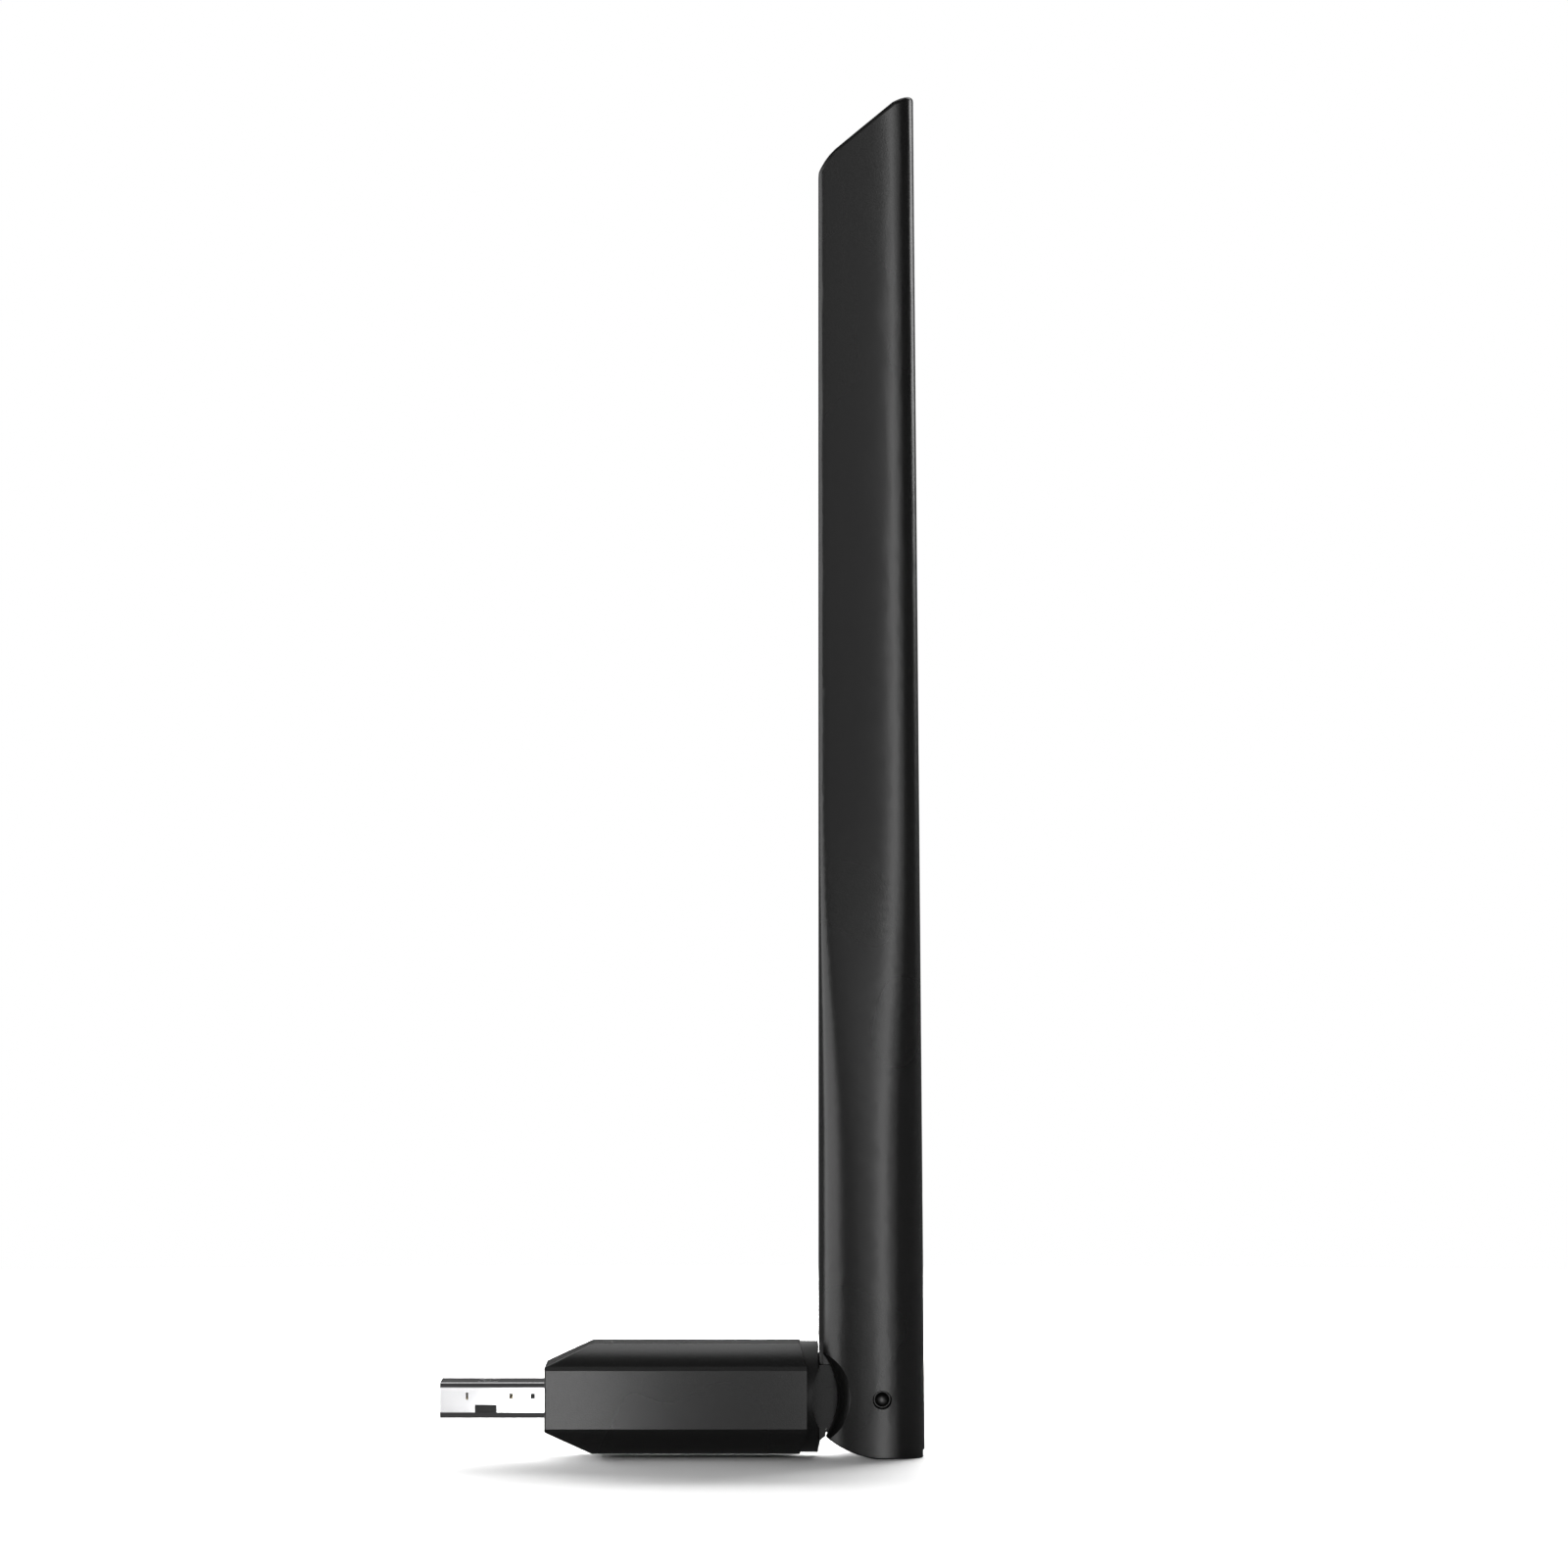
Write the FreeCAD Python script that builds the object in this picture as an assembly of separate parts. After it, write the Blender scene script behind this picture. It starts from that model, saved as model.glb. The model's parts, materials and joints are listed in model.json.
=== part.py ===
import FreeCAD, Part

import math
import os

# USB wifi adapter with a flip-up blade antenna.  Millimetres, +Z up.
# Origin: centre of the USB plug where it leaves the front shoulder of the body.
# The plug points along -X; the antenna stands along +Z behind the body.
V = FreeCAD.Vector
X_DIR = V(1, 0, 0)
Y_DIR = V(0, 1, 0)
Z_DIR = V(0, 0, 1)

# Driving dimensions
PLUG_LENGTH, PLUG_WIDTH, PLUG_HEIGHT = 13.3, 12.0, 4.5
PLUG_SHEET = 0.3
PLUG_CORNER = 0.8
PLUG_TAIL = 2.6                # part of the plug shell behind the front wall
TONGUE_TOP = -0.05
TONGUE_RECESS = 0.4            # tongue's end behind the plug's mouth
BLOCK_X0, BLOCK_X1 = -2.2, 0.8 # plastic block that closes the back of the plug
INSULATOR_SIDE_GAP, INSULATOR_ROOF_GAP = 0.4, 0.03
CONTACT_Y = (-3.5, -1.0, 1.0, 3.5)
CONTACT_LENGTHS = (9.7, 8.7, 8.7, 9.7)
CONTACT_THICKNESS = 0.2
# Openings in the plug's sides, as X and Z limits
SIDE_OPENINGS = [(-10.0, -9.7, 0.1, 1.0), (-8.85, -6.1, -1.55, -0.55),
                 (-4.5, -4.0, 0.2, 0.9), (-1.8, -1.2, 0.2, 0.9)]
LATCH_X0, LATCH_X1 = -8.4, -5.9
LATCH_Y, LATCH_HALF_WIDTH = 2.85, 1.25

BODY_LENGTH, BODY_WIDTH, BODY_HEIGHT = 33.3, 18.0, 14.0
FACE_HALF_HEIGHT = 4.0         # half height of the flat side face
TOP_HALF_WIDTH = 5.8           # half width of the flat top and bottom
SHOULDER_RISE = 6.0            # length of the sloping front shoulders
REAR_BEVEL = 0.9
REAR_WALL_SHARE = 2.0          # rear wall, as a multiple of the other walls
FACET_CROWN = 0.25             # how far the sloping facets bulge from flat
EDGE_BEVEL, EDGE_ROUND = 0.3, 0.2
WALL = 1.3
LIP_HEIGHT, LIP_THICKNESS = 1.4, 0.7
LIP_X0, LIP_X1 = 3.5, 28.1
AXIS_Z = 0.2                   # height of the swivel and tilt axes

BOARD_X0, BOARD_X1 = 2.7, 26.0
BOARD_HALF_WIDTH, BOARD_THICKNESS = 6.8, 1.0
BOARD_TOP = -0.6
SUPPORT_X, SUPPORT_Y = (5.5, 23.5), (-4.4, 4.4)
SUPPORT_RADIUS = 0.9           # posts under the board
CAN_X0, CAN_X1, CAN_HALF_WIDTH, CAN_HEIGHT = 10.5, 20.8, 5.6, 1.7
CAN_SHEET = 0.2
LED_X, LED_HEIGHT, LED_PIPE_RADIUS = 8.2, 0.6, 0.75
LED_PIPE_GAP = 0.3
# Parts on the board: X limits, Y limits, height
WIFI_CHIP = (12.5, 18.5, -3.0, 3.0, 0.9)
CRYSTAL = (8.0, 9.6, 2.0, 4.5, 0.7)
POWER_INDUCTOR = (8.0, 9.8, -5.4, -2.8, 1.2)
COAX_SOCKET = (22.4, 24.6, -1.2, 1.2, 0.15)
CAPACITOR_SPOTS = [(4.4, -5.2), (4.4, 5.2), (6.2, -5.2), (6.2, 5.2),
                   (22.3, -4.6), (22.3, 4.6), (24.3, 4.6)]
CAPACITOR_LENGTH, CAPACITOR_WIDTH, CAPACITOR_HEIGHT = 1.0, 0.5, 0.5
COAX_PLUG_X, COAX_PLUG_RADIUS, COAX_PLUG_HEIGHT = 23.5, 1.0, 1.25
BARREL_RADIUS, BARREL_X1 = 0.8, 25.4
COAX_X0 = 24.6                 # end of the lead inside the plug's barrel

COLLAR_X0, COLLAR_X1 = 32.35, 35.1
COLLAR_RADIUS = 7.1
COLLAR_BEVEL, COLLAR_BEVEL_RISE = 0.4, 1.9
POCKET_X0, POCKET_RADIUS = 32.25, 7.2
SPINDLE_X0, SPINDLE_RADIUS = 27.2, 3.45
SPINDLE_BORE = 0.9
BOSS_X0, BOSS_RADIUS = 29.6, 5.2
RUNNING_FIT = 0.05
CLIP_X0, CLIP_THICKNESS = 28.4, 0.6
CLIP_OUTER, GROOVE_RADIUS, CLIP_GAP = 4.7, 2.9, 3.2
STOP_ANGLE, STOP_RADIUS, STOP_WIDTH = 97.0, 5.6, 1.2
STOP_LUG_REACH, STOP_LUG_HALF = 0.65, 0.55
STOP_GROOVE_DEPTH, STOP_GROOVE_HALF = 0.8, 0.8

HINGE_X = 42.85
KNUCKLE_RADIUS, KNUCKLE_HALF_WIDTH = 3.9, 4.6
CABLE_SLOT_HALF_WIDTH, CABLE_SLOT_X0 = 1.2, 38.85
CHIN = [(34.9, -3.5), (35.8, -3.5), (35.65, -4.6), (34.9, -5.2)]
WAIST_X0, WAIST_X1, WAIST_DEPTH = 36.7, 38.9, 0.6
RIDGE_FIT = 0.07                # between the neck's ridge and the fork's roof
NECK_LINE_Z0, NECK_LINE_Z1, NECK_LINE_DEPTH = 1.5, 2.5, 0.15
CHEEK_INNER = 4.95             # inner face of each antenna cheek
SLOT_CLEARANCE = 0.4
SWEEP_RADIUS = 8.85            # room in the collar for the cheeks' heels
PIN_RADIUS, PIN_INNER, PIN_OUTER = 1.2, 1.35, 7.2
PIN_FIT, PIN_ROUND = 0.04, 0.2
DISH_RADIUS, DISH_DEPTH = 1.46, 0.35
WASHER_RADIUS, WASHER_GAP = 3.3, 0.03

BLADE_FRONT = 34.8
BLADE_BACK, BLADE_BACK_SLOPE = 48.28, 0.0087
BLADE_BOTTOM, BLADE_TOP = -7.3, 165.6
BLADE_WALL = 1.3
NOTCH_X, NOTCH_Z = 35.4, 7.6    # corner cut out of the blade's front for the collar
SCOOP_X, SCOOP_Z = 28.2, 0.46  # axis of the trumpet round the neck
SCOOP_RADIUS = 9.0
FLARE_RADIUS, FLARE_TOP = 4.8, 12.0
FLARE_TURNS = (90, 60, 35)     # degrees from the outward direction, along the flare
HEEL_X, HEEL_Z = 35.75, -4.6
# Tab under the blade's front edge that stands in a recess of the collar
TAB_X0, TAB_HALF_WIDTH = 34.85, 3.2
TAB_FIT, TAB_CLEARANCE = 0.06, 0.35  # behind the tab; beside it
FOOT_RELIEF_Z = -6.3           # foot of the back wall between the cheeks
CROWN_SLOPE, CROWN_ROUND, FOOT_ROUND = 39.1, 0.5, 0.2
CROWN_START_X = 36.9
CROWN_END = (44.2, 164.85)
FRONT_KNEE_Z = 154.0           # where the front edge starts to curve into the crown
CAVITY_BOTTOM, CAVITY_TOP = 8.0, 163.0
COVER_THICKNESS, COVER_GAP = 1.4, 0.08
COVER_Z0, COVER_SHOULDER_Z, COVER_Z1 = 12.0, 76.0, 150.5
COVER_NARROW, COVER_WIDE = 2.9, 5.3
POST_LEVELS, POST_RADIUS, POST_Y = (20.0, 85.0, 142.0), 1.0, 3.6

COAX_RADIUS = 0.6
AERIAL_THICKNESS, AERIAL_HALF_WIDTH = 0.8, 5.0
AERIAL_Z0, AERIAL_Z1 = 12.0, 150.0
FEED_Z, FEED_GAP = 78.0, 1.5
DIPOLE_ARM = 27.5
COPPER = 0.1
JOINT_RADIUS, JOINT_OFFSETS = 1.3, (-8.0, 0.6)
FOAM_LEVELS, FOAM_LENGTH, FOAM_HALF_WIDTH = (22.0, 120.0), 9.0, 2.6

# Half sections of the blade as spline poles: (share of the depth, half width).
FULL_SECTION = [(0, 0), (0, 2.0), (0, 4.4), (0.055, 6.9), (0.235, 8.5), (0.5, 9.2),
                (0.75, 9.1), (0.93, 7.4), (1, 4.6), (1, 2.0), (1, 0)]
FLAT_SECTION = [(0, 0), (0, 2.5), (0, 5.7), (0, 6.7), (0.075, 7.0), (0.44, 7.8),
                (0.78, 8.4), (0.965, 7.7), (1, 4.6), (1, 2.0), (1, 0)]
SECTION_LEVELS = [-10, 12, 28, 40, 52, 64, 80, 120, 172]
FULL_UP_TO, FLAT_FROM = 28.0, 74.0


def box(x0, x1, y0, y1, z0, z1):
    return Part.makeBox(x1 - x0, y1 - y0, z1 - z0, V(x0, y0, z0))


def cyl_x(radius, x0, x1, y=0.0, z=AXIS_Z):
    return Part.makeCylinder(radius, x1 - x0, V(x0, y, z), X_DIR)


def cyl_y(radius, y0, y1, x=HINGE_X, z=AXIS_Z):
    return Part.makeCylinder(radius, y1 - y0, V(x, y0, z), Y_DIR)


def ring_x(inner, outer, x0, x1):
    return cyl_x(outer, x0, x1).cut(cyl_x(inner, x0 - 1, x1 + 1))


def prism_xz(points, half_width):
    """Closed X-Z outline, extruded both ways along Y."""
    corners = [V(x, -half_width, z) for x, z in points]
    wire = Part.makePolygon(corners + corners[:1])
    return Part.Face(wire).extrude(V(0, 2 * half_width, 0))


def prism_yz(points, x0, x1):
    """Closed Y-Z outline, extruded along X."""
    corners = [V(x0, y, z) for y, z in points]
    wire = Part.makePolygon(corners + corners[:1])
    return Part.Face(wire).extrude(V(x1 - x0, 0, 0))


def pair(shape):
    """The shape and its mirror image in the plane y = 0."""
    return [shape, shape.mirror(V(0, 0, 0), Y_DIR)]


def fuse_all(shapes):
    return shapes[0].multiFuse(shapes[1:]).removeSplitter()


def rounded(shape, radius, wanted):
    """Rounds the edges that the test picks out."""
    return shape.makeFillet(radius, [e for e in shape.Edges if wanted(e)])


def save(name, shapes):
    shape = shapes if isinstance(shapes, Part.Shape) else Part.makeCompound(shapes)
    shape.exportStep("parts/%s.step" % name)
    state = "ok" if shape.isValid() else "INVALID"
    print("%-24s %3d solids %10.2f mm3 %s" % (name, len(shape.Solids), shape.Volume, state))


# USB plug

def rounded_bar(x0, x1, width, height, corner):
    bar = box(x0, x1, -width / 2, width / 2, -height / 2, height / 2)
    return rounded(bar, corner, lambda e: e.Length > 0.99 * (x1 - x0) and e.BoundBox.XLength > 1)


def plug_shell():
    inner_width = PLUG_WIDTH - 2 * PLUG_SHEET
    inner_height = PLUG_HEIGHT - 2 * PLUG_SHEET
    inner_corner = PLUG_CORNER - PLUG_SHEET
    shell = rounded_bar(-PLUG_LENGTH, PLUG_TAIL, PLUG_WIDTH, PLUG_HEIGHT, PLUG_CORNER)
    bore = rounded_bar(-PLUG_LENGTH - 1, PLUG_TAIL + 1, inner_width, inner_height, inner_corner)
    shell = shell.cut(bore)
    for x0, x1, z0, z1 in SIDE_OPENINGS:
        shell = shell.cut(box(x0, x1, -PLUG_WIDTH, PLUG_WIDTH, z0, z1))
    for y in (-LATCH_Y, LATCH_Y):
        shell = shell.cut(box(LATCH_X0, LATCH_X1, y - LATCH_HALF_WIDTH, y + LATCH_HALF_WIDTH,
                              -PLUG_HEIGHT, PLUG_HEIGHT))
    return shell


def plug_insulator():
    half = PLUG_WIDTH / 2 - PLUG_SHEET - INSULATOR_SIDE_GAP
    roof = PLUG_HEIGHT / 2 - PLUG_SHEET - INSULATOR_ROOF_GAP
    tongue = box(TONGUE_RECESS - PLUG_LENGTH, 0.0, -half, half, -roof, TONGUE_TOP)
    block = box(BLOCK_X0, BLOCK_X1, -half, half, -roof, roof)
    return tongue.fuse(block).removeSplitter()


def plug_contacts():
    top = TONGUE_TOP + CONTACT_THICKNESS
    return [box(BLOCK_X0 - length, BLOCK_X0, y - 0.5, y + 0.5, TONGUE_TOP, top)
            for y, length in zip(CONTACT_Y, CONTACT_LENGTHS)]


def contact_tails():
    top = BOARD_TOP + CONTACT_THICKNESS
    return [box(BLOCK_X1, 4.0, y - 0.3, y + 0.3, BOARD_TOP, top) for y in CONTACT_Y]


# Body

def octagon(inset, x0, x1):
    """Eight-sided bar along X: flat sides, top and bottom, and slightly crowned facets between."""
    side = BODY_WIDTH / 2 - inset
    top = BODY_HEIGHT / 2 - inset
    corner = 0.41 * inset
    face = FACE_HALF_HEIGHT - corner
    flat = TOP_HALF_WIDTH - corner
    tilt = math.atan2(side - flat, top - face)
    crown_y = (side + flat) / 2 + FACET_CROWN * math.cos(tilt)
    crown_z = (top + face) / 2 + FACET_CROWN * math.sin(tilt)

    def at(y, z):
        return V(x0, y, z + AXIS_Z)

    edges = []
    for up in (1, -1):
        edges.append(Part.makeLine(at(-flat, up * top), at(flat, up * top)))
        edges.append(Part.makeLine(at(up * side, face), at(up * side, -face)))
        for across in (1, -1):
            crown = at(across * crown_y, up * crown_z)
            facet = Part.Arc(at(across * flat, up * top), crown, at(across * side, up * face))
            edges.append(facet.toShape())
    wire = Part.Wire(Part.__sortEdges__(edges))
    return Part.Face(wire).extrude(V(x1 - x0, 0, 0))


def body_side_outline(inset):
    top = BODY_HEIGHT / 2 - inset
    nose = FACE_HALF_HEIGHT + 0.1 - 0.5 * inset
    front, rear = inset, BODY_LENGTH - REAR_WALL_SHARE * inset
    half = [(front, nose), (SHOULDER_RISE + 0.2 * inset, top), (rear - REAR_BEVEL, top),
            (rear, nose)]
    return [(x, z + AXIS_Z) for x, z in half] + [(x, AXIS_Z - z) for x, z in reversed(half)]


def body_solid(inset):
    block = octagon(inset, -1, BODY_LENGTH + 1)
    return block.common(prism_xz(body_side_outline(inset), BODY_WIDTH)).Solids[0]


def long_face_edge(edge):
    """The four long edges of the flat side faces."""
    b = edge.BoundBox
    return b.XLength > 20 and abs(abs(b.Center.y) - BODY_WIDTH / 2) < 0.1


def outer_edge(edge):
    """Edges of the body that stop short of its rear face."""
    return edge.BoundBox.XMax < BODY_LENGTH - 0.1


def body_shell():
    outer = body_solid(0.0)
    outer = outer.makeChamfer(EDGE_BEVEL, [e for e in outer.Edges if long_face_edge(e)])
    outer = rounded(outer, EDGE_ROUND, outer_edge)
    shell = outer.cut(body_solid(WALL))
    shell = shell.fuse(cyl_x(BOSS_RADIUS, BOSS_X0, POCKET_X0 - 0.5)).removeSplitter()
    shell = shell.cut(cyl_x(POCKET_RADIUS, POCKET_X0, BODY_LENGTH + 1))
    shell = shell.cut(cyl_x(SPINDLE_RADIUS + RUNNING_FIT, 20, 40))
    plug_hole = rounded_bar(-1, WALL + 1, PLUG_WIDTH, PLUG_HEIGHT, PLUG_CORNER)
    shell = shell.cut(plug_hole)
    return shell.cut(stop_groove())


def stop_groove():
    """Arc in the rear wall that the swivel's stop lug runs in."""
    inner, outer = STOP_RADIUS - STOP_GROOVE_HALF, STOP_RADIUS + STOP_GROOVE_HALF
    bottom, mouth = POCKET_X0 - STOP_GROOVE_DEPTH, POCKET_X0 + 1
    corners = [(bottom, inner), (mouth, inner), (mouth, outer), (bottom, outer), (bottom, inner)]
    face = Part.Face(Part.makePolygon([V(x, 0, AXIS_Z - r) for x, r in corners]))
    face.rotate(V(0, 0, AXIS_Z), X_DIR, -STOP_ANGLE)
    return face.revolve(V(0, 0, AXIS_Z), X_DIR, 2 * STOP_ANGLE)


def split_z():
    return AXIS_Z - FACE_HALF_HEIGHT - 0.15


def lip():
    """Rim of the lower shell that stands inside the upper one."""
    z0, z1 = split_z() - 0.4, split_z() + LIP_HEIGHT
    rim = body_solid(WALL).cut(body_solid(WALL + LIP_THICKNESS))
    return rim.common(box(LIP_X0, LIP_X1, -BODY_WIDTH, BODY_WIDTH, z0, z1))


def body_top_shell():
    above = box(-5, 50, -20, 20, split_z(), 20)
    shell = body_shell().common(above)
    return shell.cut(Part.makeCylinder(LED_PIPE_RADIUS, 20, V(LED_X, 0, 0), Z_DIR))


def body_bottom_shell():
    below = box(-5, 50, -20, 20, -20, split_z())
    shell = body_shell().common(below)
    parts = [shell] + list(lip().Solids)
    floor_z = AXIS_Z - BODY_HEIGHT / 2 + 0.5
    height = BOARD_TOP - BOARD_THICKNESS - floor_z
    for x in SUPPORT_X:
        for y in SUPPORT_Y:
            parts.append(Part.makeCylinder(SUPPORT_RADIUS, height, V(x, y, floor_z), Z_DIR))
    return fuse_all(parts)


# Circuit board and what is on it


def on_board(x0, x1, y0, y1, height):
    return box(x0, x1, y0, y1, BOARD_TOP, BOARD_TOP + height)


def main_board():
    return box(BOARD_X0, BOARD_X1, -BOARD_HALF_WIDTH, BOARD_HALF_WIDTH,
               BOARD_TOP - BOARD_THICKNESS, BOARD_TOP)


def shield_can():
    outer = on_board(CAN_X0, CAN_X1, -CAN_HALF_WIDTH, CAN_HALF_WIDTH, CAN_HEIGHT)
    top = BOARD_TOP + CAN_HEIGHT
    outer = rounded(outer, 2 * CAN_SHEET, lambda e: e.BoundBox.ZMin > top - 0.01)
    inner = CAN_HALF_WIDTH - CAN_SHEET
    hollow = box(CAN_X0 + CAN_SHEET, CAN_X1 - CAN_SHEET, -inner, inner,
                 BOARD_TOP - 1, top - CAN_SHEET)
    return outer.cut(hollow)


def crystal():
    return rounded(on_board(*CRYSTAL), 0.2, lambda e: e.BoundBox.ZLength > 0.5)


def capacitors():
    half = CAPACITOR_WIDTH / 2
    return [on_board(x, x + CAPACITOR_LENGTH, y - half, y + half, CAPACITOR_HEIGHT)
            for x, y in CAPACITOR_SPOTS]


def status_led():
    return on_board(LED_X - 0.8, LED_X + 0.8, -0.4, 0.4, LED_HEIGHT)


def light_pipe():
    z0 = BOARD_TOP + LED_HEIGHT + LED_PIPE_GAP
    z1 = AXIS_Z + BODY_HEIGHT / 2
    return Part.makeCylinder(LED_PIPE_RADIUS, z1 - z0, V(LED_X, 0, z0), Z_DIR)


def coax_plug():
    seat = V(COAX_PLUG_X, 0, BOARD_TOP + COAX_SOCKET[-1])
    cap = Part.makeCylinder(COAX_PLUG_RADIUS, COAX_PLUG_HEIGHT, seat, Z_DIR)
    plug = cap.fuse(cyl_x(BARREL_RADIUS, COAX_PLUG_X, BARREL_X1)).removeSplitter()
    return plug.cut(cyl_x(COAX_RADIUS, COAX_X0, BARREL_X1 + 1)).cut(on_board(*COAX_SOCKET))


# Swivel head

def stop_lug():
    middle = AXIS_Z - STOP_RADIUS
    return box(COLLAR_X0 - STOP_LUG_REACH, COLLAR_X0 + 0.2, -STOP_WIDTH / 2, STOP_WIDTH / 2,
               middle - STOP_LUG_HALF, middle + STOP_LUG_HALF)


def collar():
    """Bevelled disc with its sides scalloped to clear the antenna's cheeks."""
    bevel_x0 = COLLAR_X1 - COLLAR_BEVEL
    bevel = Part.makeCone(COLLAR_RADIUS, COLLAR_RADIUS - COLLAR_BEVEL_RISE, COLLAR_BEVEL,
                          V(bevel_x0, 0, AXIS_Z), X_DIR)
    disc = cyl_x(COLLAR_RADIUS, COLLAR_X0, bevel_x0).fuse(bevel)
    for scallop in pair(cyl_y(SWEEP_RADIUS, KNUCKLE_HALF_WIDTH + RUNNING_FIT, 20)):
        disc = disc.cut(scallop)
    half = TAB_HALF_WIDTH + TAB_CLEARANCE
    recess = box(TAB_X0 - TAB_FIT, 40, -half, half, AXIS_Z + KNUCKLE_RADIUS, 20)
    return disc.cut(recess)


def neck():
    """Block from the collar to the knuckle: a shallow line, then a waist, on each side.

    A low ridge on its top fills the gap under the fork's roof.
    """
    root, top = COLLAR_X0 + 0.5, AXIS_Z + KNUCKLE_RADIUS
    block = box(root, HINGE_X, -KNUCKLE_HALF_WIDTH, KNUCKLE_HALF_WIDTH, AXIS_Z - KNUCKLE_RADIUS, top)
    ridge_top = top + SLOT_CLEARANCE - RIDGE_FIT
    block = block.fuse(box(root, WAIST_X0, -KNUCKLE_HALF_WIDTH, KNUCKLE_HALF_WIDTH, top - 1, ridge_top))
    line_y = KNUCKLE_HALF_WIDTH - NECK_LINE_DEPTH
    waist_y = KNUCKLE_HALF_WIDTH - WAIST_DEPTH
    grooves = pair(box(COLLAR_X1, WAIST_X1, line_y, 10, NECK_LINE_Z0, NECK_LINE_Z1))
    grooves.extend(pair(box(WAIST_X0, WAIST_X1, waist_y, 10, -20, 20)))
    for groove in grooves:
        block = block.cut(groove)
    return block


def swivel_head():
    knuckle = cyl_y(KNUCKLE_RADIUS, -KNUCKLE_HALF_WIDTH, KNUCKLE_HALF_WIDTH)
    spindle = cyl_x(SPINDLE_RADIUS, SPINDLE_X0, COLLAR_X0 + 0.5)
    cable_slot = box(CABLE_SLOT_X0, 60, -CABLE_SLOT_HALF_WIDTH, CABLE_SLOT_HALF_WIDTH, -20, 20)
    chin = prism_xz(CHIN, KNUCKLE_HALF_WIDTH)
    head = fuse_all([collar(), neck(), chin, knuckle, spindle, stop_lug()])
    head = head.cut(ring_x(GROOVE_RADIUS, 6, CLIP_X0, CLIP_X0 + CLIP_THICKNESS))
    head = head.cut(cable_slot)
    head = head.cut(cyl_x(SPINDLE_BORE, 20, 45))
    return head.cut(cyl_y(PIN_RADIUS + PIN_FIT, -20, 20))


def retaining_clip():
    ring = ring_x(GROOVE_RADIUS, CLIP_OUTER, CLIP_X0, CLIP_X0 + CLIP_THICKNESS)
    return ring.cut(box(20, 40, -CLIP_GAP / 2, CLIP_GAP / 2, AXIS_Z - 10, AXIS_Z))


def spring_washer():
    x0 = CLIP_X0 + CLIP_THICKNESS + 0.02
    return ring_x(SPINDLE_RADIUS + 0.1, CLIP_OUTER, x0, BOSS_X0 - 0.05)


# Antenna

def blade_back(z):
    return BLADE_BACK - BLADE_BACK_SLOPE * z


def blend_share(z):
    share = min(1.0, max(0.0, (z - FULL_UP_TO) / (FLAT_FROM - FULL_UP_TO)))
    return share * share * (3 - 2 * share)


def section_poles(z, inset, side):
    """Poles of one half section at height z, front to back."""
    share = blend_share(z)
    front = BLADE_FRONT + inset
    depth = blade_back(z) - inset - front
    poles = []
    for (deep0, wide0), (deep1, wide1) in zip(FULL_SECTION, FLAT_SECTION):
        deep = deep0 + share * (deep1 - deep0)
        wide = (wide0 + share * (wide1 - wide0)) * (1 - inset / 8.5)
        poles.append(V(front + deep * depth, side * wide, z))
    return poles


def even_knots(count):
    """Knots and multiplicities of a clamped cubic with this many poles."""
    spans = count - 3
    return [i / spans for i in range(spans + 1)], [4] + [1] * (spans - 1) + [4]


def blade_half(inset, side):
    """One side of the blade's outer form, as a single smooth surface."""
    grid = [section_poles(z, inset, side) for z in SECTION_LEVELS]
    level_knots, level_mults = even_knots(len(grid))
    round_knots, round_mults = even_knots(len(grid[0]))
    surface = Part.BSplineSurface()
    surface.buildFromPolesMultsKnots(grid, level_mults, round_mults, level_knots, round_knots,
                                     False, False, 3, 3)
    return surface.toShape()


def blade_column(inset):
    """The blade's outer form, longer than the blade at both ends."""
    halves = [blade_half(inset, side) for side in (1, -1)]
    edges = [edge for half in halves for edge in half.Edges]
    faces = list(halves)
    for z in (SECTION_LEVELS[0], SECTION_LEVELS[-1]):
        rim = [e for e in edges if max(abs(e.BoundBox.ZMin - z), abs(e.BoundBox.ZMax - z)) < 0.01]
        faces.append(Part.Face(Part.Wire(rim)))
    shell = Part.makeShell(faces)
    shell.sewShape()
    solid = Part.makeSolid(shell)
    if solid.Volume < 0:
        solid.reverse()
    return solid


def arc(a, b, c):
    points = [V(x, -15, z) for x, z in (a, b, c)]
    return Part.Arc(*points).toShape()


def line(a, b):
    return Part.makeLine(V(a[0], -15, a[1]), V(b[0], -15, b[1]))


def blade_side_outline():
    """Side view of the blade: slanted crown, flat foot, round heel and a notch for the collar."""
    out_x, back_x = BLADE_FRONT - 1.5, BLADE_BACK + 1.7
    slope = math.tan(math.radians(CROWN_SLOPE))
    crown_start = (CROWN_START_X, CROWN_END[1] - (CROWN_END[0] - CROWN_START_X) * slope)
    front_knee = (BLADE_FRONT - 0.5, FRONT_KNEE_Z)
    heel = (HEEL_X, HEEL_Z)
    notch_end = (NOTCH_X, HEEL_Z + 1.4)
    foot = (42.2, BLADE_BOTTOM)
    edges = [
        line((out_x, NOTCH_Z), (NOTCH_X, NOTCH_Z)),
        line((NOTCH_X, NOTCH_Z), notch_end),
        line(notch_end, heel),
        arc(heel, (38.7, -6.35), foot),
        line(foot, (back_x, BLADE_BOTTOM)),
        line((back_x, BLADE_BOTTOM), (back_x, BLADE_TOP - 0.1)),
        arc((back_x, BLADE_TOP - 0.1), (46.2, BLADE_TOP), CROWN_END),
        line(CROWN_END, crown_start),
        arc(crown_start, (35.35, 157.0), front_knee),
        line(front_knee, (out_x, front_knee[1])),
        line((out_x, front_knee[1]), (out_x, NOTCH_Z))]
    face = Part.Face(Part.Wire(edges))
    return face.extrude(V(0, 30, 0))


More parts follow.
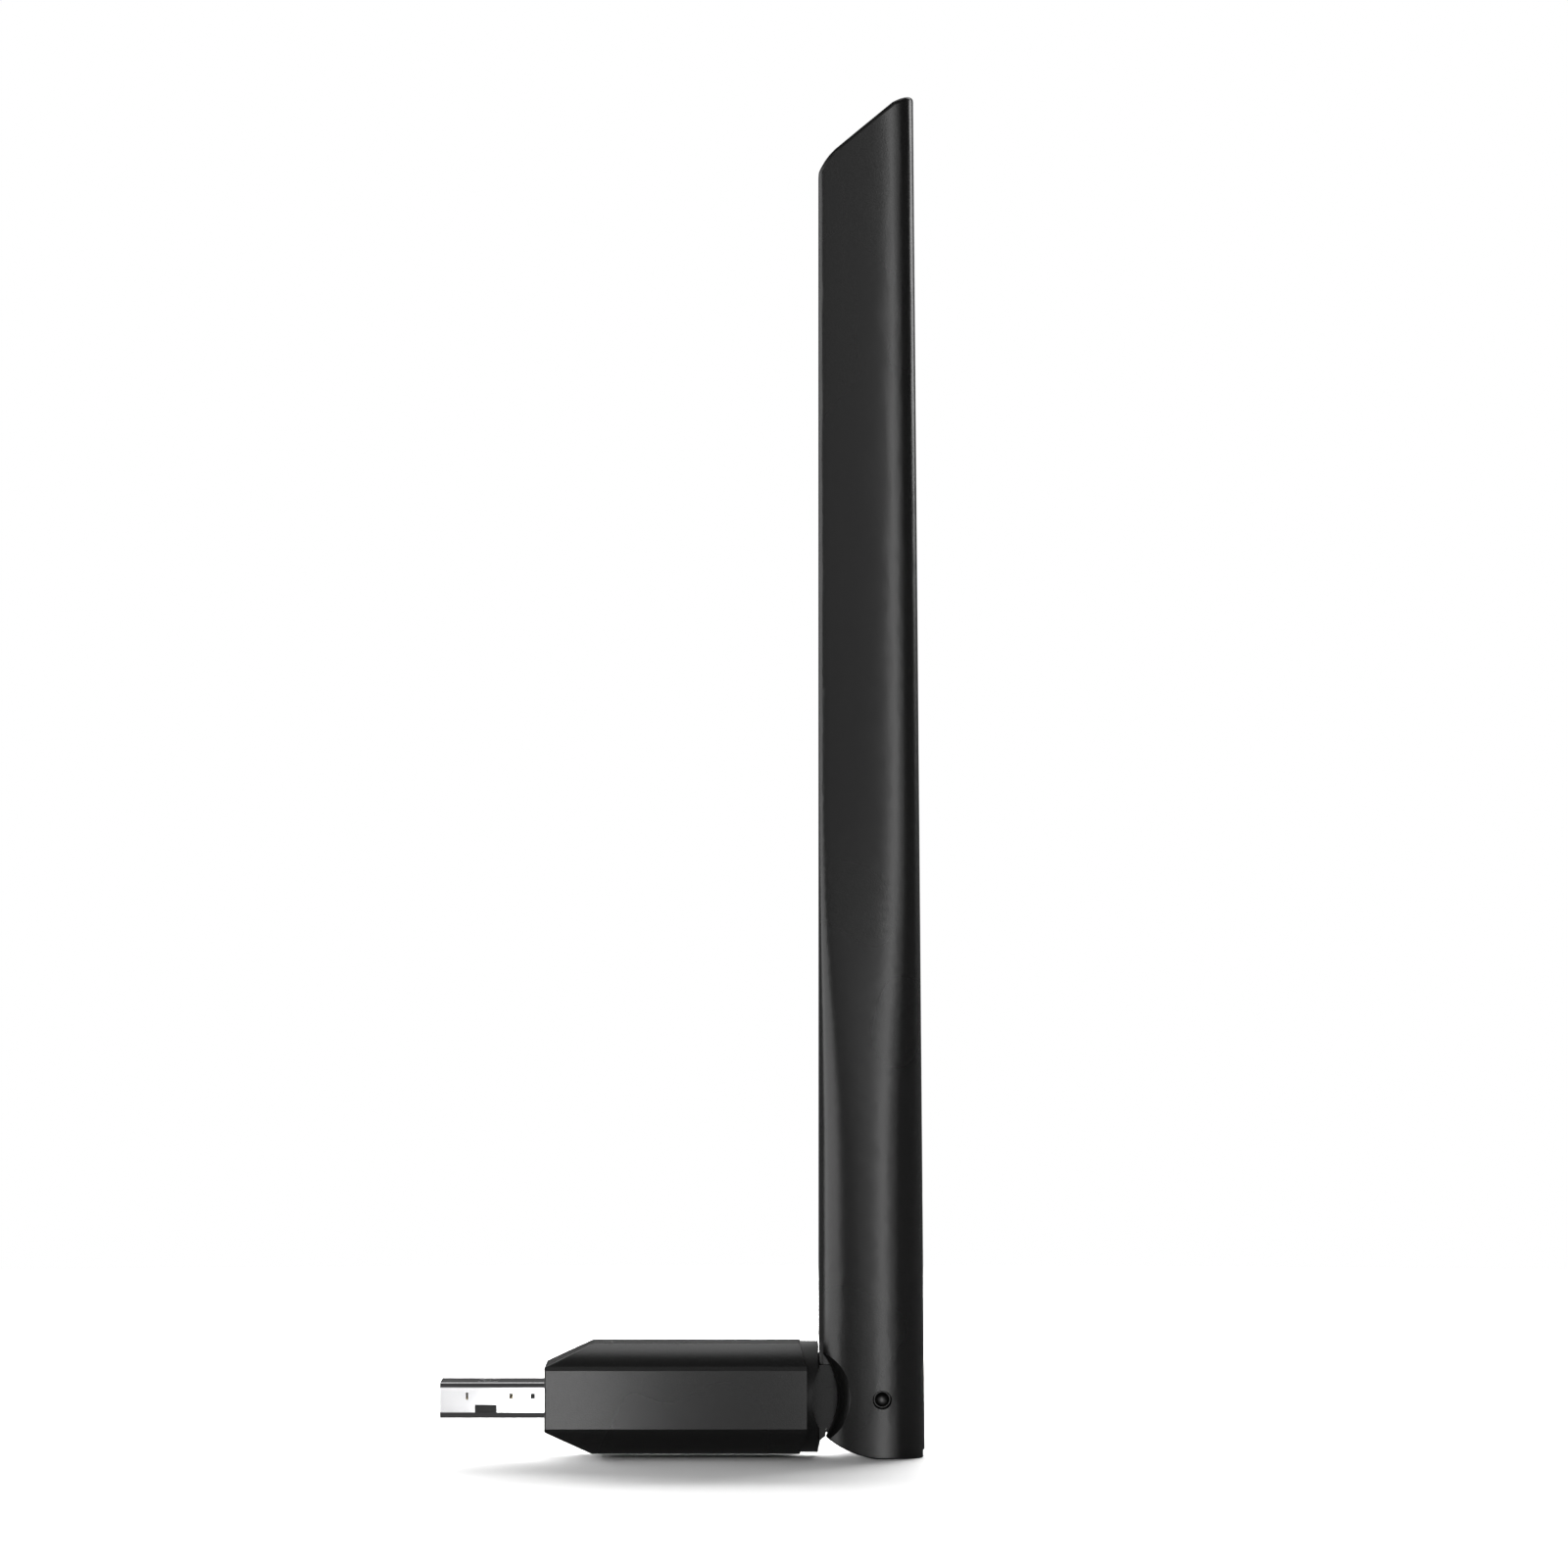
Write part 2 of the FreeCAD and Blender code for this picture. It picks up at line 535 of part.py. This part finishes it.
def flare_point(degrees):
    turn = math.radians(degrees)
    x = SCOOP_X + SCOOP_RADIUS + FLARE_RADIUS * (1 - math.sin(turn))
    return V(x, CHEEK_INNER + FLARE_RADIUS * math.cos(turn), SCOOP_Z)


def neck_trumpet():
    """Trumpet that dishes the cheek round the neck, wide at the outside."""
    inner, middle, outer = [flare_point(turn) for turn in FLARE_TURNS]
    y0 = CHEEK_INNER - 0.5
    sides = [outer, V(outer.x, FLARE_TOP, SCOOP_Z), V(SCOOP_X, FLARE_TOP, SCOOP_Z),
             V(SCOOP_X, y0, SCOOP_Z), V(inner.x, y0, SCOOP_Z), inner]
    edges = [Part.Arc(inner, middle, outer).toShape()] + Part.makePolygon(sides).Edges
    profile = Part.Face(Part.Wire(edges))
    return profile.revolve(V(SCOOP_X, 0, SCOOP_Z), Y_DIR, 360)


def crown_edge(edge):
    return edge.BoundBox.ZMin > 150 and type(edge.Curve).__name__ != "Line"


def foot_edge(edge):
    """Edges round the foot and the heel, not those of the notch."""
    b = edge.BoundBox
    return b.ZMax < HEEL_Z + 0.1 and b.XMax > NOTCH_X + 0.1 and type(edge.Curve).__name__ != "Line"


def blade_solid():
    blade = blade_column(0.0).common(blade_side_outline())
    blade = rounded(blade, CROWN_ROUND, crown_edge)
    blade = rounded(blade, FOOT_ROUND, foot_edge)
    for trumpet in pair(neck_trumpet()):
        blade = blade.cut(trumpet)
    return blade


def cover_prism(grow):
    low, high = COVER_Z0 - grow, COVER_Z1 + grow
    narrow, wide = COVER_NARROW + grow, COVER_WIDE + grow
    outline = [(-narrow, low), (narrow, low), (wide, COVER_SHOULDER_Z),
               (wide, high), (-wide, high), (-wide, COVER_SHOULDER_Z)]
    return prism_yz(outline, BLADE_FRONT - 2, BLADE_FRONT + COVER_THICKNESS)


def blade_cavity():
    cavity = blade_column(BLADE_WALL)
    outline = [(30, CAVITY_BOTTOM), (60, CAVITY_BOTTOM), (60, CAVITY_TOP), (44.2, 162.6), (30, 151.1)]
    cavity = cavity.common(prism_xz(outline, 20))
    return cavity.cut(box(30, BLADE_FRONT + COVER_THICKNESS, -20, 20, -20, 200))


def fork_slot():
    reach = KNUCKLE_RADIUS + SLOT_CLEARANCE
    return box(20, HINGE_X + reach, -CHEEK_INNER, CHEEK_INNER, -20, AXIS_Z + reach)


def front_tab():
    """Narrow tab that closes the joint between blade and collar from the side."""
    bottom = AXIS_Z + KNUCKLE_RADIUS + SLOT_CLEARANCE
    return box(TAB_X0, NOTCH_X + 0.5, -TAB_HALF_WIDTH, TAB_HALF_WIDTH, bottom, NOTCH_Z + 1)


def foot_relief():
    return box(HINGE_X, 60, -CHEEK_INNER, CHEEK_INNER, -20, FOOT_RELIEF_Z)


def aerial_back():
    return HINGE_X - COAX_RADIUS


def antenna_shell():
    shell = blade_solid().cut(blade_cavity()).cut(cover_prism(COVER_GAP)).cut(fork_slot())
    posts = []
    for z in POST_LEVELS:
        post = cyl_x(POST_RADIUS, aerial_back(), blade_back(z) - BLADE_WALL + 0.4, POST_Y, z)
        posts.extend(pair(post))
    shell = fuse_all([shell, front_tab()] + posts)
    shell = shell.cut(foot_relief()).cut(cyl_y(PIN_RADIUS, -20, 20))
    return shell.cut(Part.makeCylinder(SPINDLE_BORE, 20, V(HINGE_X, 0, 0), Z_DIR))


def antenna_front_cover():
    return blade_solid().common(cover_prism(0.0))


def antenna_board():
    return box(aerial_back() - AERIAL_THICKNESS, aerial_back(), -AERIAL_HALF_WIDTH, AERIAL_HALF_WIDTH,
               AERIAL_Z0, AERIAL_Z1)


def antenna_radiators():
    """Two dipoles: each has an arm above and an arm below the feed."""
    x1 = aerial_back() - AERIAL_THICKNESS
    strips = []
    for z0 in (FEED_Z + FEED_GAP, FEED_Z - FEED_GAP - DIPOLE_ARM):
        z1 = z0 + DIPOLE_ARM
        strips.append(box(x1 - COPPER, x1, -1.5, 1.5, z0, z1))
        strips.extend(pair(box(x1 - COPPER, x1, 2.6, 4.0, z0 + 8, z1 - 6)))
    return strips


def foam_pads():
    x0, x1 = BLADE_FRONT + COVER_THICKNESS, aerial_back() - AERIAL_THICKNESS - COPPER
    return [box(x0, x1, -FOAM_HALF_WIDTH, FOAM_HALF_WIDTH, z, z + FOAM_LENGTH) for z in FOAM_LEVELS]


def hinge_pin():
    """Half pin with a rounded rim and a dished end."""
    pin = cyl_y(PIN_RADIUS, PIN_INNER, PIN_OUTER)
    pin = rounded(pin, PIN_ROUND, lambda e: e.BoundBox.YMin > PIN_OUTER - 0.01)
    dish_y = PIN_OUTER - DISH_DEPTH + DISH_RADIUS
    return pin.cut(Part.makeSphere(DISH_RADIUS, V(HINGE_X, dish_y, AXIS_Z)))


def friction_washer():
    washer = cyl_y(WASHER_RADIUS, KNUCKLE_HALF_WIDTH + WASHER_GAP, CHEEK_INNER)
    return washer.cut(cyl_y(PIN_RADIUS, 0, 10))


# Coaxial lead, in the pieces that each moving part carries

def coax_straight(x0, x1):
    return cyl_x(COAX_RADIUS, x0, x1)


def coax_bend():
    """Quarter turn inside the knuckle, then up through the fork's roof."""
    start = V(CABLE_SLOT_X0 + 0.1, 0, AXIS_Z)
    radius = HINGE_X - start.x
    centre = V(start.x, 0, AXIS_Z + radius)
    half = math.sqrt(0.5) * radius
    bend = Part.Arc(start, V(centre.x + half, 0, centre.z - half), V(HINGE_X, 0, centre.z))
    rise = Part.makeLine(V(HINGE_X, 0, centre.z), V(HINGE_X, 0, CAVITY_BOTTOM))
    path = Part.Wire([bend.toShape(), rise])
    profile = Part.Wire(Part.makeCircle(COAX_RADIUS, start, X_DIR))
    return path.makePipeShell([profile], True, True)


def coax_rise(radius=COAX_RADIUS):
    return Part.makeCylinder(radius, FEED_Z - CAVITY_BOTTOM, V(HINGE_X, 0, CAVITY_BOTTOM), Z_DIR)


def solder_joints():
    x0 = aerial_back()
    joints = []
    for offset in JOINT_OFFSETS:
        blob = Part.makeSphere(JOINT_RADIUS, V(x0, 0, FEED_Z + offset))
        blob = blob.common(box(x0, 60, -5, 5, 0, 200))
        joints.append(blob.cut(coax_rise(COAX_RADIUS + 0.02)))
    return joints


def main():
    os.makedirs("parts", exist_ok=True)
    save("usb_plug_shell", plug_shell())
    save("usb_plug_insulator", plug_insulator())
    save("usb_contacts", plug_contacts())
    save("usb_contact_tails", contact_tails())
    save("body_top_shell", body_top_shell())
    save("body_bottom_shell", body_bottom_shell())
    save("main_board", main_board())
    save("shield_can", shield_can())
    save("wifi_chip", on_board(*WIFI_CHIP))
    save("crystal", crystal())
    save("power_inductor", on_board(*POWER_INDUCTOR))
    save("capacitors", capacitors())
    save("status_led", status_led())
    save("light_pipe", light_pipe())
    save("coax_socket", on_board(*COAX_SOCKET))
    save("coax_plug", coax_plug())
    save("coax_body_run", coax_straight(COAX_X0, SPINDLE_X0))
    save("swivel_head", swivel_head())
    save("retaining_clip", retaining_clip())
    save("spring_washer", spring_washer())
    save("coax_swivel_run", coax_straight(SPINDLE_X0, CABLE_SLOT_X0))
    save("antenna_shell", antenna_shell())
    save("antenna_front_cover", antenna_front_cover())
    save("antenna_board", antenna_board())
    save("antenna_radiators", antenna_radiators())
    save("foam_pads", foam_pads())
    pins = pair(hinge_pin())
    save("hinge_pin_near", pins[1])
    save("hinge_pin_far", pins[0])
    save("friction_washers", pair(friction_washer()))
    save("coax_hinge_bend", coax_bend())
    save("coax_antenna_run", coax_rise())
    save("solder_joints", solder_joints())


main()
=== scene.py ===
import json
import math

import bpy
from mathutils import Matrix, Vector


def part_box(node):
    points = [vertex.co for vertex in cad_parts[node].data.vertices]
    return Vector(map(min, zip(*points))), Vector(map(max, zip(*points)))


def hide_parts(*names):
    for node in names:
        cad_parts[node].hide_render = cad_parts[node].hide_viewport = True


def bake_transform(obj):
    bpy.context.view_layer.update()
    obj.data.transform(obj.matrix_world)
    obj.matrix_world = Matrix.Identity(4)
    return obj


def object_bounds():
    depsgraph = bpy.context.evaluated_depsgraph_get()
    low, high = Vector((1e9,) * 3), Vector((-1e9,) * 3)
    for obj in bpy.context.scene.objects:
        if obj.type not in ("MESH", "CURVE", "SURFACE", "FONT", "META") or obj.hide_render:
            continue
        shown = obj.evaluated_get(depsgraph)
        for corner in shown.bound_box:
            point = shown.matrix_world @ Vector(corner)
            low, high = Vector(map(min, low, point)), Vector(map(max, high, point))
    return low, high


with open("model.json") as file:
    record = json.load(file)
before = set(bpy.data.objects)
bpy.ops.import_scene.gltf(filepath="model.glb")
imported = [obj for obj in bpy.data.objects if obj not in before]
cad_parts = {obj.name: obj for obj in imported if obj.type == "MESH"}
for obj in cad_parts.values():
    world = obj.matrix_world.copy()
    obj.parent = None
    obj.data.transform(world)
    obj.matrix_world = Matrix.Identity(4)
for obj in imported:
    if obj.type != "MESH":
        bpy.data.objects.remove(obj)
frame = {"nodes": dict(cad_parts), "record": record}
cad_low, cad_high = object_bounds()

NODES = frame["nodes"]
scene = bpy.context.scene

# View: level camera looking along +Y, square picture about 200 mm wide at the object
VIEW_WIDTH = 0.2
VIEW_DISTANCE = 1.4
VIEW_CENTRE = Vector((0.0304, 0.0, 0.0783))
SENSOR = 36.0


# ---------------------------------------------------------------- materials

NOISE_LOW, NOISE_HIGH = 0.3, 0.7        # most of a noise's values lie between these
MOULD_GRAIN = 5200.0                    # noise scale of a spark-eroded surface, per metre
MOULD_DEPTH, SPECKLE_DEPTH = 0.00006, 0.00005
FINE_DEPTH = 0.00003                    # depth of drawn metal's grain and of a board's copper runs


class Nodes:
    """Small helper for building a material's node tree."""

    def __init__(self, name):
        self.material = bpy.data.materials.new(name)
        self.material.use_nodes = True
        self.tree = self.material.node_tree
        self.shader = self.tree.nodes["Principled BSDF"]
        coordinates = self.add("ShaderNodeTexCoord")
        self.place = coordinates.outputs["Object"]

    def add(self, kind, **settings):
        node = self.tree.nodes.new(kind)
        for key, value in settings.items():
            setattr(node, key, value)
        return node

    def link(self, output, socket):
        self.tree.links.new(output, socket)

    def noise(self, scale, detail=4.0, roughness=0.55, stretch=(1, 1, 1)):
        mapping = self.add("ShaderNodeMapping")
        mapping.inputs["Scale"].default_value = stretch
        self.link(self.place, mapping.inputs["Vector"])
        noise = self.add("ShaderNodeTexNoise")
        noise.inputs["Scale"].default_value = scale
        noise.inputs["Detail"].default_value = detail
        noise.inputs["Roughness"].default_value = roughness
        self.link(mapping.outputs["Vector"], noise.inputs["Vector"])
        return noise.outputs["Fac"]

    def spread(self, value, low, high, start=NOISE_LOW, end=NOISE_HIGH):
        """Maps start..end onto low..high; without them, a noise's middle range."""
        node = self.add("ShaderNodeMapRange")
        node.inputs["From Min"].default_value = start
        node.inputs["From Max"].default_value = end
        node.inputs["To Min"].default_value = low
        node.inputs["To Max"].default_value = high
        self.link(value, node.inputs["Value"])
        return node.outputs["Result"]

    def mix(self, factor, first, second):
        node = self.add("ShaderNodeMix", data_type="RGBA")
        node.inputs["A"].default_value = (*first, 1)
        node.inputs["B"].default_value = (*second, 1)
        self.link(factor, node.inputs["Factor"])
        return node.outputs["Result"]

    def bump(self, height, strength, distance):
        node = self.add("ShaderNodeBump")
        node.inputs["Strength"].default_value = strength
        node.inputs["Distance"].default_value = distance
        self.link(height, node.inputs["Height"])
        self.link(node.outputs["Normal"], self.shader.inputs["Normal"])

    def set(self, **values):
        for key, value in values.items():
            self.shader.inputs[key.replace("_", " ")].default_value = value


def moulded_plastic(name, dark, light, rough_low, rough_high):
    """Matt moulded plastic with a fine spark-eroded grain."""
    n = Nodes(name)
    fine = n.noise(MOULD_GRAIN, detail=3.0, roughness=0.6)
    cloud = n.noise(40.0, detail=1.0)
    n.link(n.mix(n.spread(fine, 0.0, 1.0), dark, light), n.shader.inputs["Base Color"])
    n.link(n.spread(cloud, rough_low, rough_high), n.shader.inputs["Roughness"])
    n.bump(fine, 0.25, MOULD_DEPTH)
    n.set(Specular_IOR_Level=0.5, IOR=1.5)
    return n.material


def metal(name, dark, light, rough_low, rough_high, stretch=(1, 1, 1), scale=900.0, height=0.08):
    """Bare or plated metal with a fine grain, which stretch turns into drawing lines."""
    n = Nodes(name)
    grain = n.noise(scale, detail=5.0, stretch=stretch)
    smudge = n.noise(160.0, detail=3.0)
    n.link(n.mix(n.spread(grain, 0.0, 1.0), dark, light), n.shader.inputs["Base Color"])
    n.link(n.spread(smudge, rough_low, rough_high), n.shader.inputs["Roughness"])
    n.bump(grain, height, FINE_DEPTH)
    n.set(Metallic=1.0)
    return n.material


def speckled(name, dark, light, roughness, scale, height=0.15):
    """Two shades in small grains, for ceramic and foam."""
    n = Nodes(name)
    grain = n.noise(scale, detail=4.0)
    n.link(n.mix(n.spread(grain, 0.0, 1.0), dark, light), n.shader.inputs["Base Color"])
    n.link(n.spread(grain, roughness * 0.85, roughness * 1.15), n.shader.inputs["Roughness"])
    n.bump(grain, height, SPECKLE_DEPTH)
    return n.material


def circuit_board():
    """Solder mask over a faint weave of copper runs."""
    n = Nodes("circuit_board")
    weave = n.add("ShaderNodeTexBrick")
    weave.inputs["Scale"].default_value = 900.0
    weave.inputs["Color1"].default_value = (0.015, 0.12, 0.045, 1)
    weave.inputs["Color2"].default_value = (0.02, 0.16, 0.06, 1)
    weave.inputs["Mortar"].default_value = (0.01, 0.08, 0.03, 1)
    n.link(n.place, weave.inputs["Vector"])
    n.link(weave.outputs["Color"], n.shader.inputs["Base Color"])
    haze = n.noise(700.0)
    n.link(n.spread(haze, 0.22, 0.36), n.shader.inputs["Roughness"])
    n.bump(weave.outputs["Fac"], 0.1, FINE_DEPTH)
    return n.material


def clear_plastic():
    """Slightly hazy light pipe."""
    n = Nodes("clear_plastic")
    haze = n.noise(1400.0)
    n.link(n.spread(haze, 0.18, 0.3), n.shader.inputs["Roughness"])
    n.link(n.mix(haze, (0.7, 0.74, 0.76), (0.82, 0.85, 0.86)), n.shader.inputs["Base Color"])
    n.set(Transmission_Weight=0.6, IOR=1.49)
    return n.material


def make_materials():
    """One material for each of the record's material slots."""
    return {
        "body_plastic": moulded_plastic("body_plastic", (0.007,) * 3, (0.012,) * 3, 0.26, 0.28),
        "swivel_plastic": moulded_plastic("swivel_plastic", (0.008,) * 3, (0.014,) * 3, 0.4, 0.48),
        "antenna_plastic": moulded_plastic("antenna_plastic", (0.008,) * 3, (0.013,) * 3, 0.26, 0.28),
        "plug_insulator": moulded_plastic("plug_insulator", (0.01,) * 3, (0.018,) * 3, 0.4, 0.5),
        "chip_resin": moulded_plastic("chip_resin", (0.015,) * 3, (0.03,) * 3, 0.45, 0.6),
        "coax_jacket": moulded_plastic("coax_jacket", (0.02,) * 3, (0.035,) * 3, 0.3, 0.4),
        "washer_plastic": moulded_plastic("washer_plastic", (0.5, 0.5, 0.47), (0.62, 0.62, 0.58), 0.4, 0.5),
        "plug_steel": metal("plug_steel", (0.64, 0.64, 0.65), (0.72, 0.72, 0.73), 0.12, 0.18,
                            stretch=(0.06, 1, 1), height=0.03),
        "tinned_steel": metal("tinned_steel", (0.52, 0.52, 0.5), (0.68, 0.68, 0.66), 0.3, 0.42),
        "spring_steel": metal("spring_steel", (0.3, 0.3, 0.3), (0.42, 0.42, 0.42), 0.28, 0.38),
        "pin_steel": metal("pin_steel", (0.05, 0.05, 0.05), (0.08, 0.08, 0.08), 0.3, 0.38),
        "solder": metal("solder", (0.5, 0.5, 0.48), (0.7, 0.7, 0.68), 0.25, 0.45, scale=500.0),
        "copper": metal("copper", (0.6, 0.3, 0.17), (0.78, 0.43, 0.27), 0.25, 0.38),
        "contact_plating": metal("contact_plating", (0.72, 0.6, 0.38), (0.84, 0.72, 0.5), 0.2, 0.3),
        "ceramic_chip": speckled("ceramic_chip", (0.28, 0.19, 0.12), (0.42, 0.3, 0.2), 0.4, 3000.0),
        "foam": speckled("foam", (0.02,) * 3, (0.06,) * 3, 0.85, 2600.0, height=0.8),
        "circuit_board": circuit_board(),
        "clear_plastic": clear_plastic(),
    }


def dress_nodes(materials):
    """Gives every CAD node its slot's material."""
    slots = {part["node"]: part["material_slot"] for part in frame["record"]["subparts"]}
    for name, node in NODES.items():
        for place in node.material_slots:
            place.material = materials[slots[name]]


# ---------------------------------------------------------------- lead over the hinge

LEAD_SIDES, TURN_STEPS, RISE_STEPS = 20, 20, 6


def coax_route():
    """Centre line of the lead over the hinge: a quarter turn, then straight up."""
    low, high = (Vector(corner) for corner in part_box("coax_hinge_bend"))
    radius = (high.y - low.y) / 2
    reach = high.x - radius - low.x
    bottom = low.z + radius
    turns = [math.pi / 2 * i / TURN_STEPS for i in range(TURN_STEPS + 1)]
    route = [Vector((low.x + reach * math.sin(turn), 0, bottom + reach * (1 - math.cos(turn))))
             for turn in turns]
    knee = route[-1]
    step = Vector((0, 0, (high.z - knee.z) / RISE_STEPS))
    route.extend(knee + step * i for i in range(1, RISE_STEPS + 1))
    return route, knee, radius


def coax_bend(material):
    """Lead that bends from the swivel into the antenna."""
    route, knee, radius = coax_route()
    points, faces = [], []
    for i, centre in enumerate(route):
        along = (route[min(i + 1, len(route) - 1)] - route[max(i - 1, 0)]).normalized()
        out = Vector((-along.z, 0, along.x))
        for k in range(LEAD_SIDES):
            angle = 2 * math.pi * k / LEAD_SIDES
            points.append(centre + radius * (math.cos(angle) * out + math.sin(angle) * Vector((0, 1, 0))))
    for i in range(len(route) - 1):
        for k in range(LEAD_SIDES):
            a, b = i * LEAD_SIDES + k, i * LEAD_SIDES + (k + 1) % LEAD_SIDES
            faces.append((a, b, b + LEAD_SIDES, a + LEAD_SIDES))
    mesh = bpy.data.meshes.new("coax_bend")
    mesh.from_pydata(points, [], faces)
    mesh.shade_smooth()
    mesh.materials.append(material)
    lead = bpy.data.objects.new("coax_bend", mesh)
    scene.collection.objects.link(lead)
    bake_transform(lead)
    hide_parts("coax_hinge_bend")


# ---------------------------------------------------------------- studio

FLOOR_MIDDLE = Vector((0.03, 0.0))
FLOOR_SOLID, FLOOR_REACH = 0.3, 0.55    # paper is whole up to the first radius, gone at the second
FLOOR_SIDES = 64


def floor_paper():
    """Pale matt paper that thins out towards its rim, so no edge shows."""
    n = Nodes("floor_paper")
    grain = n.noise(60.0)
    n.link(n.mix(n.spread(grain, 0.0, 1.0), (0.93,) * 3, (0.92,) * 3), n.shader.inputs["Base Color"])
    n.set(Roughness=0.9, Specular_IOR_Level=0.1)
    radius = n.add("ShaderNodeVectorMath", operation="LENGTH")
    n.link(n.place, radius.inputs[0])
    n.link(n.spread(radius.outputs["Value"], 1.0, 0.0, start=FLOOR_SOLID, end=FLOOR_REACH),
           n.shader.inputs["Alpha"])
    return n.material


def make_floor():
    """Flat round sheet under the object."""
    turns = [2 * math.pi * i / FLOOR_SIDES for i in range(FLOOR_SIDES)]
    rim = [(FLOOR_REACH * math.cos(turn), FLOOR_REACH * math.sin(turn), 0) for turn in turns]
    mesh = bpy.data.meshes.new("floor")
    mesh.from_pydata(rim, [], [range(FLOOR_SIDES)])
    mesh.materials.append(floor_paper())
    floor = bpy.data.objects.new("floor", mesh)
    floor.location = (*FLOOR_MIDDLE, cad_low.z)
    scene.collection.objects.link(floor)
    floor.visible_glossy = False
    return floor


FULL_SPREAD = 180.0
WATTS_PER_AREA = 4          # a lamp of this many watts per square metre has a brightness of 1


def soft_box(name, place, target, size, brightness, spread=FULL_SPREAD, only=None, skip=None):
    """Rectangular light that faces the target; a small spread stands for a grid on its front.

    With only, it lights that object alone; with skip, everything but that object.
    Everything throws a shadow either way.
    """
    data = bpy.data.lights.new(name, "AREA")
    data.shape = "RECTANGLE"
    data.size, data.size_y = size
    data.energy = WATTS_PER_AREA * brightness * data.size * data.size_y
    if spread < FULL_SPREAD:
        half = math.radians(spread) / 2
        data.spread = 2 * half
        data.energy *= 1 - half / math.tan(half)        # keeps the brightness straight ahead
    lamp = bpy.data.objects.new(name, data)
    lamp.location = place
    aim = Vector(target) - Vector(place)
    lamp.rotation_euler = aim.to_track_quat("-Z", "Y").to_euler()
    lamp.visible_camera = False
    if only or skip:
        chosen = bpy.data.collections.new(name + "_chosen")
        chosen.objects.link(only or skip)
        if skip:
            chosen.collection_objects[0].light_linking.link_state = "EXCLUDE"
        lamp.light_linking.receiver_collection = chosen
    scene.collection.objects.link(lamp)


BACKDROP, ROOM = 1.0, 0.07      # brightness that the camera sees, and that lights the object


def make_world():
    """White behind the object, and dim all round as light."""
    world = bpy.data.worlds.new("studio")
    world.use_nodes = True
    tree = world.node_tree
    backdrop = tree.nodes["Background"]
    backdrop.inputs["Color"].default_value = (1, 1, 1, 1)
    path = tree.nodes.new("ShaderNodeLightPath")
    level = tree.nodes.new("ShaderNodeMapRange")
    level.inputs["To Min"].default_value = ROOM
    level.inputs["To Max"].default_value = BACKDROP
    tree.links.new(path.outputs["Is Camera Ray"], level.inputs["Value"])
    tree.links.new(level.outputs["Result"], backdrop.inputs["Strength"])
    scene.world = world


def make_lights(floor):
    """Large boxes all round, and narrow gridded ones close in front for the plastic's highlights."""
    soft_box("left", place=(-0.88, -0.1, 0.15), target=(0.03, 0, 0.15), size=(1.2, 0.6),
             brightness=1.75)
    soft_box("front_fill", place=(-0.35, -1.55, 0.45), target=(0.03, 0, 0.1), size=(1.4, 0.9),
             brightness=0.42)
    soft_box("antenna_strip", place=(0.052, -0.07, 0.08), target=(0.052, 0, 0.08), size=(0.022, 0.34),
             brightness=3.7, spread=50)
    soft_box("antenna_edge", place=(0.074, -0.07, 0.08), target=(0.046, 0, 0.08), size=(0.018, 0.34),
             brightness=0.9, spread=50)
    soft_box("body_box", place=(0.0, -0.085, 0.0), target=(0.0, 0, 0.0), size=(0.012, 0.12),
             brightness=8.4, spread=44)
    soft_box("body_fill", place=(0.024, -0.085, 0.0), target=(0.024, 0, 0.0), size=(0.034, 0.12),
             brightness=0.7, spread=60)
    soft_box("plug_box", place=(-0.033, -0.085, 0.0), target=(-0.033, 0, 0.0), size=(0.054, 0.12),
             brightness=1.0, spread=44)
    soft_box("overhead", place=(0.03, 0.25, 0.9), target=(0.03, 0, 0.07), size=(0.45, 0.5),
             brightness=1.5, skip=NODES["usb_plug_shell"])
    soft_box("back", place=(0.03, 0.9, 0.17), target=(0.03, 0, 0), size=(1.2, 0.2),
             brightness=54.0, only=floor)
    soft_box("rear_fill", place=(0.2, 1.3, 0.95), target=(0.03, 0, 0.1), size=(1.6, 0.8),
             brightness=1.1)
    soft_box("rim", place=(0.6, 0.64, 0.26), target=(0.05, 0, 0.12), size=(0.36, 0.24),
             brightness=2.0)


def make_camera():
    """Camera level with the middle of the object."""
    data = bpy.data.cameras.new("camera")
    data.sensor_width = SENSOR
    data.lens = SENSOR * VIEW_DISTANCE / VIEW_WIDTH
    data.clip_start, data.clip_end = 0.05, 20.0
    camera = bpy.data.objects.new("camera", data)
    camera.location = VIEW_CENTRE + Vector((0, -VIEW_DISTANCE, 0))
    camera.rotation_euler = (math.pi / 2, 0, 0)
    scene.collection.objects.link(camera)
    scene.camera = camera


make_camera()
make_world()
make_lights(make_floor())
materials = make_materials()
dress_nodes(materials)
coax_bend(materials["coax_jacket"])
scene.view_settings.view_transform = "Standard"
